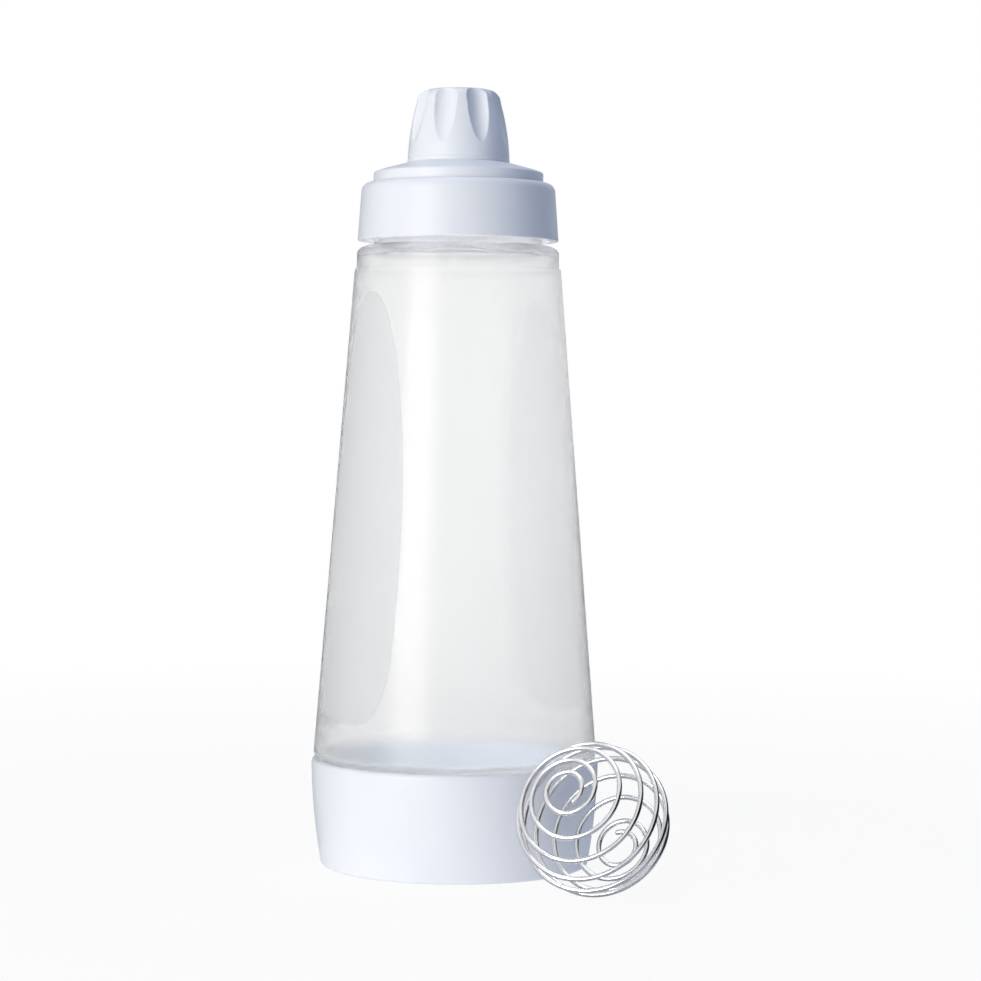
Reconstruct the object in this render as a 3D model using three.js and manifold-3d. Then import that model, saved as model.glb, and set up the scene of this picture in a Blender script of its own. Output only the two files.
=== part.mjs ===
// A squeeze bottle that mixes and pours batter. From the floor up it is a screw-on base cup, a tapered
// translucent bottle open at both ends, a spout plate that a screw collar clamps on the bottle's neck, and a
// fluted cap that screws on the spout. A loose wire whisk ball stands beside it.
// Millimetres, +Z up. The origin is on the floor, on the bottle's axis, and +X runs through one grip recess.
import * as THREE from "three";
import { mergeVertices } from "three/addons/utils/BufferGeometryUtils.js";
import Module from "manifold-3d";

// Fits.
const seatGap = 0.3; // between two faces that rest on each other
const runningGap = 0.4; // round a piece that turns or sits in another
const threadGap = 0.45; // from a thread's crest to the wall that it runs along
const flankGap = 0.3; // along the axis, between the flanks of two mating threads

// Bottle.
const bottleFootRadius = 51.2;
const bottleTopRadius = 37.35;
const bottleWall = 1.4;
const bodyHeight = 176; // from the foot to the ledge under the band
const footReach = 1.5; // how far the rounding under its foot goes in
const footRise = 2.2; // how far that rounding goes up
const ledgeStep = 0.7;
const ledgeHeight = 0.6;
const bandHeight = 5.2;
const shoulderHeight = 3.2;
const shoulderReach = 6.1; // from the band in to the neck
const neckWall = 1.8;
const neckHeight = 16.6;
const skirtLength = 20; // the threaded part that goes down into the base
const skirtWall = 1.8;

// Grip recesses, one on each side of the bottle.
const gripFootMargin = 14.7; // from the bottle's foot up to the recess
const gripTopMargin = 8.6; // from the recess up to the ledge
const gripWidestHeight = 55; // above the recess's lower end
const gripHalfWidth = 21.7; // along the bottle's wall
const gripDepth = 2.2;
const gripFootPower = 3.9; // how square the recess's lower end is, where 2 is an ellipse

// Base cup.
const baseHeight = 38.4;
const baseProud = 0.6; // how far its rim stands out past the bottle's foot
const baseFootDraw = 3.4; // how far its side draws in from the rim to the floor
const baseBulge = 0.7;
const baseWall = 2.5;
const baseFloor = 2.6;
const baseRimRounding = 1.6;
const baseFootRounding = 1.2;
const baseGasketThickness = 1.6;

// Thread between the bottle's skirt and the base.
const baseThreadLead = 6;
const baseThreadTurns = 1.05;
const baseThreadHeight = 1.25;
const baseRidgeRoot = 2.2;
const baseRidgeTip = 1.2;

// Thread between the bottle's neck and the collar.
const neckThreadLead = 5;
const neckThreadTurns = 1.05;
const neckThreadHeight = 1.8;
const neckRidgeRoot = 2.2;
const neckRidgeTip = 1.1;

// Collar.
const collarStandOff = 1.6; // between its lower edge and the bottle's shoulder
const collarWall = 3.55; // at its lower edge
const collarDraw = 1.2; // how far its side draws in from the lower edge to the top
const collarRounding = 3.4;
const collarLand = 0.5; // the flat left on its top, inside the rounding
const collarLip = 2.1; // thickness of the lip that holds the spout down
const collarEdgeRounding = 0.5;

// Spout plate and nozzle.
const neckGasketThickness = 1.4;
const flangeThickness = 1.6;
const flangeReach = 1.65; // how far the flange goes out under the collar's lip
const plateRise = 6.36; // from the flange to the plate's edge
const plateRounding = 0.8;
const coneRise = 4.5; // from the plate's edge to the nozzle's root
const spoutWall = 1.8;
const plugLength = 4.2; // the ring that goes down into the neck
const plugWall = 1.6;
const nozzleRadius = 14.2;
const nozzleWall = 2;
const nozzleThreadLength = 9.6;
const valveSeatDepth = 0.9; // below the top of the threaded part
const nozzleTaper = 4;
const tipRadius = 8.6;
const tipWall = 1.8;
const tipLength = 7.64;

// Thread between the nozzle and the cap.
const capThreadLead = 8;
const capThreadStarts = 2;
const capThreadTurns = 0.45;
const capThreadHeight = 1.2;
const capRidgeRoot = 1.6;
const capRidgeTip = 0.8;

// All threads' ridges.
const ridgeSink = 0.5; // how deep a ridge's root is let into its wall
const ridgeRunOut = 20; // degrees over which a ridge's end fades into its wall

// Slit valve in the nozzle and the ring that holds it.
const valveFlange = 1.3;
const valveWall = 0.9;
const valveDish = 2.2; // how far its middle bulges up into the tip
const valveSlit = 0.4;
const valveSlitLength = 8;
const retainerHeight = 4.3;
const retainerWall = 4;

// Cap.
const capWall = 2.65; // at its lower edge
const capDraw = 3.3; // how far its side draws in from the lower edge to the crown
const capCrownRounding = 4.6;
const capBulge = 0.7;
const capRoof = 2.1;
const fluteCount = 8;
const flutePhase = 37; // degrees from +X to the first flute
const fluteRadius = 5.6;
const fluteFootHeight = 5.8; // above the cap's lower edge, where a flute runs out
const fluteBendHeight = 18.5; // above the cap's lower edge, where a flute turns steeper
const fluteTilt = 21.3; // degrees that a flute leans in below its bend
const fluteTopTilt = 11.5; // degrees that it leans in above its bend
const fluteWall = 1.3; // left between a flute and the cap's inside
const linerThickness = 1.3;
const linerPlugLength = 2;

// Whisk ball: one wire wound on a sphere from pole to pole.
const whiskDiameter = 52.4;
const wireDiameter = 1.75;
const whiskTurns = 9.43;
const whiskPoleAngle = 12.5; // degrees from the ball's axis to each end of the wire
const whiskLoopAngle = 17.5; // degrees from the axis to where the small loop at each end opens out
const whiskLoopTurns = 0.85; // how much of a turn each small loop takes
const whiskStartAngle = -44; // degrees round the axis to the first end
const whiskAxisBearing = 205.2;
const whiskAxisElevation = 30;
const whiskBearing = -91.3; // degrees from +X to where the ball stands
const whiskStandOff = 3.6; // between the ball and the base's rim

// Facets.
const bottleFacets = 48;
const ringFacets = 48;
const nozzleFacets = 36;
const valveFacets = 24;
const bodyRows = 11;
const arcSteps = 3;
const threadStep = 9; // degrees
const wireSides = 6;
const wireStepsPerTurn = 24;

// Radii that mating pieces share.
const baseRimRadius = bottleFootRadius + baseProud;
const baseFootRadius = baseRimRadius - baseFootDraw;
const baseBore = baseRimRadius - baseWall;
const skirtRadius = baseBore - threadGap - baseThreadHeight;
const skirtBore = skirtRadius - skirtWall;
const bandRadius = bottleTopRadius - ledgeStep;
const neckRadius = bandRadius - shoulderReach;
const neckBore = neckRadius - neckWall;
const collarBore = neckRadius + neckThreadHeight + threadGap;
const collarFootRadius = collarBore + collarWall;
const collarTopRadius = collarFootRadius - collarDraw;
const flangeRadius = collarBore - runningGap;
const plateRadius = flangeRadius - flangeReach;
const collarLipBore = plateRadius + runningGap;
const plugRadius = neckBore - runningGap;
const plugBore = plugRadius - plugWall;
const nozzleBore = nozzleRadius - nozzleWall;
const tipBore = tipRadius - tipWall;
const capBore = nozzleRadius + capThreadHeight + threadGap;
const capFootRadius = capBore + capWall;
const capCrownRadius = capFootRadius - capDraw;
const retainerRadius = nozzleBore - runningGap;

// Heights in the whole object.
const bottleZ = baseHeight + seatGap;
const skirtRimZ = bottleZ - skirtLength;
const baseSeatZ = skirtRimZ - seatGap - baseGasketThickness - seatGap;

// Heights in the bottle, above its foot.
const bandTop = bodyHeight + ledgeHeight + bandHeight;
const shoulderTop = bandTop + shoulderHeight;
const neckRim = shoulderTop + neckHeight;
const gripHeight = bodyHeight - gripFootMargin - gripTopMargin;

// Heights in the spout, above its flange's lower face.
const spoutLift = seatGap + neckGasketThickness + seatGap; // from the neck's rim to the flange
const plateEdge = flangeThickness + plateRise;
const nozzleRoot = plateEdge + coneRise;
const nozzleShoulder = nozzleRoot + nozzleThreadLength;
const tipRoot = nozzleShoulder + nozzleTaper;
const tipTop = tipRoot + tipLength;
const valveSeat = nozzleShoulder - valveSeatDepth;
const valveTop = valveSeat - seatGap;
const retainerTop = valveTop - valveFlange - seatGap;
const coneSlope = coneRise / (plateRadius - nozzleRadius);
const capFoot = plateEdge + coneSlope * (plateRadius - capFootRadius) + seatGap;
const capHeight = tipTop - capFoot + seatGap + linerThickness + seatGap + capRoof;

const wasm = await Module();
wasm.setup();
const weldDistance = 1e-4;

// A closed three.js geometry as a solid that can be joined and cut.
function solidOf(geometry) {
  const bare = geometry.clone();
  bare.deleteAttribute("normal");
  bare.deleteAttribute("uv");
  const merged = mergeVertices(bare, weldDistance);
  return new wasm.Manifold(
    new wasm.Mesh({
      numProp: 3,
      vertProperties: merged.getAttribute("position").array,
      triVerts: new Uint32Array(merged.getIndex().array),
    }),
  );
}

// A solid back as a three.js geometry.
function geometryOf(solid) {
  const { vertProperties, triVerts } = solid.getMesh();
  const geometry = new THREE.BufferGeometry();
  geometry.setAttribute("position", new THREE.BufferAttribute(vertProperties, 3));
  geometry.setIndex(new THREE.BufferAttribute(triVerts, 1));
  geometry.computeVertexNormals();
  return geometry;
}

// An outline of [radius, height] points turned about the Z axis. A ring's outline is closed on itself.
function turned(outline, facets, isRing = true) {
  const points = outline.map(([radius, height]) => new THREE.Vector2(radius, height));
  if (isRing) points.push(points[0].clone());
  return new THREE.LatheGeometry(points, facets).rotateX(Math.PI / 2);
}

// Points of an elliptical arc in an outline, from one angle to another, in degrees.
function arc(centreRadius, centreHeight, reach, rise, from, to) {
  return Array.from({ length: arcSteps + 1 }, (_, i) => {
    const angle = THREE.MathUtils.degToRad(from + ((to - from) * i) / arcSteps);
    return [centreRadius + reach * Math.cos(angle), centreHeight + rise * Math.sin(angle)];
  });
}

// Points of a round arc in an outline.
const rounding = (radius, height, size, from, to) => arc(radius, height, size, size, from, to);

// Points of a slightly bulging line in an outline, between two [radius, height] ends.
function bulged([r0, z0], [r1, z1], bulge, steps) {
  return Array.from({ length: steps + 1 }, (_, i) => {
    const t = i / steps;
    return [r0 + (r1 - r0) * t + 4 * bulge * t * (1 - t), z0 + (z1 - z0) * t];
  });
}

// A closed skin over rows of points, each row joined to the next, with flat ends.
function lofted(rows) {
  const sides = rows[0].length;
  const position = rows.flat().flatMap((point) => point.toArray());
  const index = [];
  for (let row = 0; row + 1 < rows.length; row++) {
    for (let side = 0; side < sides; side++) {
      const next = (side + 1) % sides;
      const [a, b] = [row * sides + side, row * sides + next];
      index.push(a, a + sides, b, b, a + sides, b + sides);
    }
  }
  const last = (rows.length - 1) * sides;
  for (let side = 1; side + 1 < sides; side++) {
    index.push(0, side, side + 1);
    index.push(last, last + side + 1, last + side);
  }
  const geometry = new THREE.BufferGeometry();
  geometry.setAttribute("position", new THREE.Float32BufferAttribute(position, 3));
  geometry.setIndex(index);
  return geometry;
}

// A screw thread's ridge, whose root is sunk in the wall that carries it and whose ends run out.
// At angle 0 its middle is at height; it climbs by lead in each turn, towards positive angles.
function threadRidge({ wallRadius, crestRadius, root, tip, lead, height, from, turns }) {
  const outward = Math.sign(crestRadius - wallRadius);
  const rootRadius = wallRadius - outward * ridgeSink;
  const steps = Math.round((turns * 360) / threadStep);
  const rows = Array.from({ length: steps + 1 }, (_, i) => {
    const degrees = from + (turns * 360 * i) / steps;
    const angle = THREE.MathUtils.degToRad(degrees);
    const toEnd = Math.min(degrees - from, from + turns * 360 - degrees);
    const share = Math.min(1, toEnd / ridgeRunOut);
    const crest = wallRadius + (crestRadius - wallRadius) * share - outward * (1 - share) * (ridgeSink / 2);
    const middle = height + (lead * degrees) / 360;
    const section = [
      [rootRadius, middle - root / 2],
      [crest, middle - tip / 2],
      [crest, middle + tip / 2],
      [rootRadius, middle + root / 2],
    ];
    if (outward < 0) section.reverse();
    return section.map(
      ([radius, z]) => new THREE.Vector3(radius * Math.cos(angle), radius * Math.sin(angle), z),
    );
  });
  return solidOf(lofted(rows));
}

// How far along the axis a thread's ridge stands from the one that it bears on.
const ridgeOffset = (root, tip) => (root + tip) / 2 + flankGap;

// Where the bottle's two threads start, above the bottle's foot, and the nozzle's, above the flange.
const skirtThreadStart = -skirtLength / 2 - (baseThreadLead * baseThreadTurns) / 2;
const neckThreadMiddle = shoulderTop + (neckHeight + collarStandOff) / 2;
const neckThreadStart = neckThreadMiddle - (neckThreadLead * neckThreadTurns) / 2;
const capThreadStart = nozzleRoot + nozzleThreadLength / 2 - (capThreadLead * capThreadTurns) / 2;

// The bottle's outer radius at a height on its tapered body.
const bodyRadius = (z) => THREE.MathUtils.lerp(bottleFootRadius, bottleTopRadius, z / bodyHeight);

// How far a grip recess is pushed in at a place on the body. The recess is half an ellipse above its widest
// height and half of a squarer curve below, and it is scooped: deepest in its middle, nothing at its edge.
function gripInset(angle, z) {
  const up = z - gripFootMargin - gripWidestHeight;
  const reach = up > 0 ? gripHeight - gripWidestHeight : gripWidestHeight;
  const power = up > 0 ? 2 : gripFootPower;
  const nearest = Math.abs(Math.atan2(Math.sin(2 * angle), Math.cos(2 * angle))) / 2;
  const across = (nearest * bodyRadius(z)) / gripHalfWidth;
  const along = Math.abs(up) / reach;
  const fromMiddle = (across ** power + along ** power) ** (1 / power);
  return gripDepth * Math.max(0, 1 - fromMiddle ** 2);
}

// The bottle: a blown shell with a threaded skirt below, a taper with two grip recesses, a plain band, a
// rounded shoulder and a threaded neck.
function bottleSolid() {
  const rows = Array.from({ length: bodyRows + 1 }, (_, i) => i / bodyRows);
  const outerBody = rows.map((t) => {
    const z = THREE.MathUtils.lerp(footRise, bodyHeight, t);
    return [bodyRadius(z), z];
  });
  const innerBody = rows.map((t) => {
    const z = THREE.MathUtils.lerp(bodyHeight, 2 * skirtWall, t);
    return [bodyRadius(z) - bottleWall, z];
  });
  const innerShoulderReach = bandRadius - bottleWall - neckBore;
  const outline = [
    [skirtBore, -skirtLength],
    [skirtRadius, -skirtLength],
    [skirtRadius, 0],
    ...arc(bodyRadius(footRise) - footReach, footRise, footReach, footRise, -90, 0).slice(0, -1),
    ...outerBody,
    [bandRadius, bodyHeight + ledgeHeight],
    ...arc(neckRadius, bandTop, shoulderReach, shoulderHeight, 0, 90),
    [neckRadius, neckRim],
    [neckBore, neckRim],
    ...arc(neckBore, bandTop - bottleWall, innerShoulderReach, shoulderHeight, 90, 0),
    ...innerBody,
    [skirtBore, skirtWall],
  ];
  const shell = turned(outline, bottleFacets);
  const place = shell.getAttribute("position");
  for (let i = 0; i < place.count; i++) {
    const point = new THREE.Vector3().fromBufferAttribute(place, i);
    const isBody = point.z > footRise - weldDistance && point.z < bodyHeight + weldDistance;
    const radius = Math.hypot(point.x, point.y);
    const scale = isBody ? 1 - gripInset(Math.atan2(point.y, point.x), point.z) / radius : 1;
    place.setXYZ(i, point.x * scale, point.y * scale, point.z);
  }
  const skirtRidge = threadRidge({
    wallRadius: skirtRadius,
    crestRadius: skirtRadius + baseThreadHeight,
    root: baseRidgeRoot,
    tip: baseRidgeTip,
    lead: baseThreadLead,
    height: skirtThreadStart,
    from: 0,
    turns: baseThreadTurns,
  });
  const neckRidge = threadRidge({
    wallRadius: neckRadius,
    crestRadius: neckRadius + neckThreadHeight,
    root: neckRidgeRoot,
    tip: neckRidgeTip,
    lead: neckThreadLead,
    height: neckThreadStart,
    from: 0,
    turns: neckThreadTurns,
  });
  return solidOf(shell).add(skirtRidge).add(neckRidge);
}

// The base: a moulded cup whose rim holds the thread, with a ledge inside for the gasket.
function baseSolid() {
  const sideSteps = 4;
  const sideFoot = [baseFootRadius, baseFootRounding];
  const sideTop = [baseRimRadius, baseHeight - baseRimRounding];
  const outline = [
    [0, 0],
    ...rounding(baseFootRadius - baseFootRounding, baseFootRounding, baseFootRounding, -90, 0),
    ...bulged(sideFoot, sideTop, baseBulge, sideSteps).slice(1),
    ...rounding(baseRimRadius - baseRimRounding, sideTop[1], baseRimRounding, 0, 90).slice(1),
    [baseBore, baseHeight],
    [baseBore, baseSeatZ],
    [skirtBore, baseSeatZ],
    [skirtBore, baseFloor],
    [0, baseFloor],
  ];
  const ridge = threadRidge({
    wallRadius: baseBore,
    crestRadius: skirtRadius + threadGap,
    root: baseRidgeRoot,
    tip: baseRidgeTip,
    lead: baseThreadLead,
    height: bottleZ + skirtThreadStart + ridgeOffset(baseRidgeRoot, baseRidgeTip),
    from: 0,
    turns: baseThreadTurns,
  });
  return solidOf(turned(outline, ringFacets, false)).add(ridge);
}

// A plain washer, from its lower face at height 0.
function washerSolid(innerRadius, outerRadius, thickness, facets) {
  const outline = [
    [innerRadius, 0],
    [outerRadius, 0],
    [outerRadius, thickness],
    [innerRadius, thickness],
  ];
  return solidOf(turned(outline, facets));
}

// The spout: a flange, a ring that plugs the neck, a stepped plate and a threaded nozzle with a narrow tip.
function spoutSolid() {
  const plateCentre = plateRadius - plateRounding;
  const plateTurn = 90 - THREE.MathUtils.radToDeg(Math.atan(coneSlope));
  const coneAt = (radius) => plateEdge + coneSlope * (plateRadius - radius);
  const ceiling = plateEdge - spoutWall;
  const outline = [
    [plugBore, -plugLength],
    [plugRadius, -plugLength],
    [plugRadius, 0],
    [flangeRadius, 0],
    [flangeRadius, flangeThickness],
    [plateRadius, flangeThickness],
    ...rounding(plateCentre, plateEdge - plateRounding, plateRounding, 0, plateTurn),
    [plateCentre - plateRounding, coneAt(plateCentre - plateRounding)],
    [nozzleRadius, nozzleRoot],
    [nozzleRadius, nozzleShoulder],
    [tipRadius, tipRoot],
    [tipRadius, tipTop],
    [tipBore, tipTop],
    [tipBore, valveSeat],
    [nozzleBore, valveSeat],
    [nozzleBore, nozzleRoot - spoutWall],
    [plateRadius - spoutWall, ceiling],
    [plateRadius - spoutWall, flangeThickness],
    [plugBore, 0],
  ];
  let spout = solidOf(turned(outline, nozzleFacets));
  for (let start = 0; start < capThreadStarts; start++) {
    spout = spout.add(
      threadRidge({
        wallRadius: nozzleRadius,
        crestRadius: nozzleRadius + capThreadHeight,
        root: capRidgeRoot,
        tip: capRidgeTip,
        lead: capThreadLead,
        height: capThreadStart - (capThreadLead * start) / capThreadStarts,
        from: (360 * start) / capThreadStarts,
        turns: capThreadTurns,
      }),
    );
  }
  return spout;
}

// The collar: a ring with a thread inside and a lip at its top, above the bottle's neck rim at height 0.
function collarSolid() {
  const foot = collarStandOff - neckHeight;
  const lipFoot = spoutLift + flangeThickness + seatGap;
  const top = lipFoot + collarLip;
  const topRounding = Math.min(collarRounding, collarTopRadius - collarLipBore - collarLand);
  const edge = collarEdgeRounding;
  const outline = [
    [collarBore, foot],
    ...rounding(collarFootRadius - edge, foot + edge, edge, -90, 0),
    ...rounding(collarTopRadius - topRounding, top - topRounding, topRounding, 0, 90),
    [collarLipBore, top],
    [collarLipBore, lipFoot],
    [collarBore, lipFoot],
  ];
  const ridge = threadRidge({
    wallRadius: collarBore,
    crestRadius: neckRadius + threadGap,
    root: neckRidgeRoot,
    tip: neckRidgeTip,
    lead: neckThreadLead,
    height: neckThreadStart - neckRim - ridgeOffset(neckRidgeRoot, neckRidgeTip),
    from: 0,
    turns: neckThreadTurns,
  });
  return solidOf(turned(outline, ringFacets)).add(ridge);
}

// The slit valve: a soft disc that bulges up into the tip, cut across twice, with its seat at height 0.
function valveSolid() {
  const domeRadius = tipBore - runningGap;
  const flangeOuter = nozzleBore - runningGap;
  const outline = [
    [0, valveDish - valveFlange - valveWall],
    ...arc(0, -valveFlange, domeRadius - valveWall, valveDish - valveWall, 90, 0).slice(1),
    [flangeOuter, -valveFlange],
    [flangeOuter, 0],
    ...arc(0, 0, domeRadius, valveDish, 0, 90).slice(0, -1),
    [0, valveDish],
  ];
  const height = 2 * (valveDish + valveFlange);
  const slit = solidOf(new THREE.BoxGeometry(valveSlitLength, valveSlit, height));
  const cross = solidOf(new THREE.BoxGeometry(valveSlit, valveSlitLength, height));
  return solidOf(turned(outline, valveFacets, false)).subtract(slit).subtract(cross);
}

// The radius of a flute's floor at a height above the cap's foot: one line up to its bend, a steeper one above.
const fluteSlope = Math.tan(THREE.MathUtils.degToRad(fluteTilt));
const fluteTopSlope = Math.tan(THREE.MathUtils.degToRad(fluteTopTilt));
const fluteBendRadius = capFootRadius - fluteSlope * (fluteBendHeight - fluteFootHeight);
const fluteFloor = (z) =>
  fluteBendRadius - (z < fluteBendHeight ? fluteSlope : fluteTopSlope) * (z - fluteBendHeight);

// A long bar that leans in by a tilt, in degrees, and whose inner line passes a flute's bend.
function fluteBar(tilt, bearing) {
  const bar = new THREE.CylinderGeometry(fluteRadius, fluteRadius, 3 * capHeight, valveFacets)
    .rotateX(Math.PI / 2)
    .translate(fluteRadius, 0, 0)
    .rotateY(-THREE.MathUtils.degToRad(tilt))
    .translate(fluteBendRadius, 0, fluteBendHeight)
    .rotateZ(THREE.MathUtils.degToRad(bearing));
  return solidOf(bar);
}

// The cap: a tapered shell with flutes for the fingers, and a thread inside.
function capSolid() {
  const sideSteps = 4;
  const crownFoot = capHeight - capCrownRounding;
  const roof = capHeight - capRoof;
  const insideAt = (z) => fluteFloor(z) - fluteWall;
  const boreTop = fluteFootHeight + (capFootRadius - fluteWall - capBore) / fluteSlope;
  const boreFoot = coneSlope * (capFootRadius - capBore);
  const outline = [
    [capBore, boreFoot],
    ...bulged([capFootRadius, 0], [capCrownRadius, crownFoot], capBulge, sideSteps),
    ...rounding(capCrownRadius - capCrownRounding, crownFoot, capCrownRounding, 0, 90).slice(1),
    [0, capHeight],
    [0, roof],
    [insideAt(roof), roof],
    [insideAt(fluteBendHeight), fluteBendHeight],
    [capBore, boreTop],
    [capBore, boreFoot],
  ];
  let cap = solidOf(turned(outline, nozzleFacets, false));
  for (let flute = 0; flute < fluteCount; flute++) {
    const bearing = flutePhase + (360 * flute) / fluteCount;
    cap = cap.subtract(fluteBar(fluteTilt, bearing).intersect(fluteBar(fluteTopTilt, bearing)));
  }
  for (let start = 0; start < capThreadStarts; start++) {
    cap = cap.add(
      threadRidge({
        wallRadius: capBore,
        crestRadius: nozzleRadius + threadGap,
        root: capRidgeRoot,
        tip: capRidgeTip,
        lead: capThreadLead,
        height:
          capThreadStart -
          capFoot -
          ridgeOffset(capRidgeRoot, capRidgeTip) -
          (capThreadLead * start) / capThreadStarts,
        from: (360 * start) / capThreadStarts,
        turns: capThreadTurns,
      }),
    );
  }
  return cap;
}

// The cap's liner: a disc under its roof, with a plug that closes the tip. Height 0 is the tip's top.
function linerSolid() {
  const top = seatGap + linerThickness;
  const radius = fluteFloor(capHeight - capRoof) - fluteWall - runningGap;
  const plug = tipBore - runningGap;
  const outline = [
    [0, -linerPlugLength],
    [plug, -linerPlugLength],
    [plug, seatGap],
    [radius, seatGap],
    [radius, top],
    [0, top],
  ];
  return solidOf(turned(outline, valveFacets, false));
}

// The angle from the ball's axis to its wire after a number of turns, in degrees.
function wireAngle(turn) {
  const fromEnd = Math.min(turn, whiskTurns - turn);
  const loop = whiskPoleAngle + ((whiskLoopAngle - whiskPoleAngle) * fromEnd) / whiskLoopTurns;
  const wound = (fromEnd - whiskLoopTurns) / (whiskTurns - 2 * whiskLoopTurns);
  const angle = fromEnd < whiskLoopTurns ? loop : whiskLoopAngle + (180 - 2 * whiskLoopAngle) * wound;
  return turn < whiskTurns / 2 ? angle : 180 - angle;
}

// The whisk ball's wire. It closes a small loop round each pole, and between them its line climbs round the
// ball's axis at a steady rate.
function whiskGeometry() {
  const lineRadius = (whiskDiameter - wireDiameter) / 2;
  const steps = Math.round(whiskTurns * wireStepsPerTurn);
  const points = Array.from({ length: steps + 1 }, (_, i) => {
    const t = i / steps;
    const fromPole = THREE.MathUtils.degToRad(wireAngle(whiskTurns * t));
    const round = THREE.MathUtils.degToRad(whiskStartAngle + 360 * whiskTurns * t);
    const direction = new THREE.Vector3().setFromSphericalCoords(1, fromPole, 0);
    direction.set(direction.z * Math.cos(round), direction.z * Math.sin(round), direction.y);
    return direction.multiplyScalar(lineRadius);
  });
  const rows = points.map((point, i) => {
    const along = new THREE.Vector3()
      .subVectors(points[Math.min(i + 1, steps)], points[Math.max(i - 1, 0)])
      .normalize();
    const out = point.clone().normalize();
    const side = new THREE.Vector3().crossVectors(along, out).normalize();
    const lift = new THREE.Vector3().crossVectors(side, along);
    return Array.from({ length: wireSides }, (_, j) => {
      const angle = (2 * Math.PI * j) / wireSides;
      return point
        .clone()
        .addScaledVector(lift, (wireDiameter / 2) * Math.cos(angle))
        .addScaledVector(side, -(wireDiameter / 2) * Math.sin(angle));
    });
  });
  let leastGap = Infinity;
  const clearSteps = wireStepsPerTurn / 2;
  for (let i = 0; i < points.length; i++) {
    for (let j = i + clearSteps; j < points.length; j++) {
      leastGap = Math.min(leastGap, points[i].distanceTo(points[j]) - wireDiameter);
    }
  }
  console.log(`whisk ball: least gap between turns ${leastGap.toFixed(2)} mm`);
  return geometryOf(solidOf(lofted(rows)));
}

// Finishes.
const whitePlastic = new THREE.MeshStandardMaterial({ color: "#e3e7f3", roughness: 0.32, metalness: 0 });
const frostedPlastic = new THREE.MeshStandardMaterial({
  color: "#eef0f1",
  roughness: 0.45,
  metalness: 0,
  transparent: true,
  opacity: 0.55,
});
const silicone = new THREE.MeshStandardMaterial({ color: "#d9dce2", roughness: 0.7, metalness: 0 });
const steel = new THREE.MeshStandardMaterial({ color: "#d5d6d8", roughness: 0.18, metalness: 1 });

// A named piece with a finish of its own, at a height in its group.
function piece(name, geometry, material, height = 0) {
  const mesh = new THREE.Mesh(geometry, material.clone());
  mesh.name = name;
  mesh.position.z = height;
  return mesh;
}

// The cap and its liner, above the spout's flange.
const capGroup = new THREE.Group();
capGroup.add(
  piece("cap", geometryOf(capSolid()), whitePlastic, capFoot),
  piece("cap_liner", geometryOf(linerSolid()), silicone, tipTop),
);

// The spout with its valve and retainer, above the neck's rim.
const spoutGroup = new THREE.Group();
spoutGroup.position.z = spoutLift;
const retainer = washerSolid(retainerRadius - retainerWall, retainerRadius, retainerHeight, nozzleFacets);
spoutGroup.add(
  piece("spout", geometryOf(spoutSolid()), whitePlastic),
  piece("nozzle_valve", geometryOf(valveSolid()), silicone, valveTop),
  piece("valve_retainer", geometryOf(retainer), whitePlastic, retainerTop - retainerHeight),
  capGroup,
);

// What sits on the neck's rim, above the bottle's foot.
const neckGroup = new THREE.Group();
neckGroup.position.z = neckRim;
const neckGasket = washerSolid(plugRadius + runningGap, neckRadius, neckGasketThickness, ringFacets);
neckGroup.add(
  piece("neck_gasket", geometryOf(neckGasket), silicone, seatGap),
  piece("collar", geometryOf(collarSolid()), whitePlastic),
  spoutGroup,
);

// The bottle on its base.
const bottleGroup = new THREE.Group();
bottleGroup.position.z = bottleZ;
bottleGroup.add(piece("bottle", geometryOf(bottleSolid()), frostedPlastic), neckGroup);
const baseGasket = washerSolid(skirtBore, baseBore - runningGap, baseGasketThickness, ringFacets);

// The whisk ball, turned so that its axis shows, standing on its lowest wire.
const whiskBall = piece("whisk_ball", whiskGeometry(), steel);
whiskBall.up.set(0, 0, 1);
const elevation = THREE.MathUtils.degToRad(whiskAxisElevation);
const bearing = THREE.MathUtils.degToRad(whiskAxisBearing);
whiskBall.lookAt(
  Math.cos(elevation) * Math.cos(bearing),
  Math.cos(elevation) * Math.sin(bearing),
  Math.sin(elevation),
);
const whiskLow = new THREE.Box3().setFromObject(whiskBall, true).min.z;
const whiskDistance = baseRimRadius + whiskStandOff + whiskDiameter / 2;
const standing = THREE.MathUtils.degToRad(whiskBearing);
whiskBall.position.set(whiskDistance * Math.cos(standing), whiskDistance * Math.sin(standing), -whiskLow);

const dispenser = new THREE.Group();
dispenser.name = "batter_dispenser";
dispenser.add(
  piece("base_cap", geometryOf(baseSolid()), whitePlastic),
  piece("base_gasket", geometryOf(baseGasket), silicone, baseSeatZ + seatGap),
  bottleGroup,
  whiskBall,
);

export default dispenser;
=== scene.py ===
# A batter dispenser with its loose whisk ball: a white base cup, a tapered frosted bottle, a spout plate held
# by a screw collar, and a fluted cap. Sizes are in millimetres until a mesh is made, which is in metres.
import math

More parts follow.
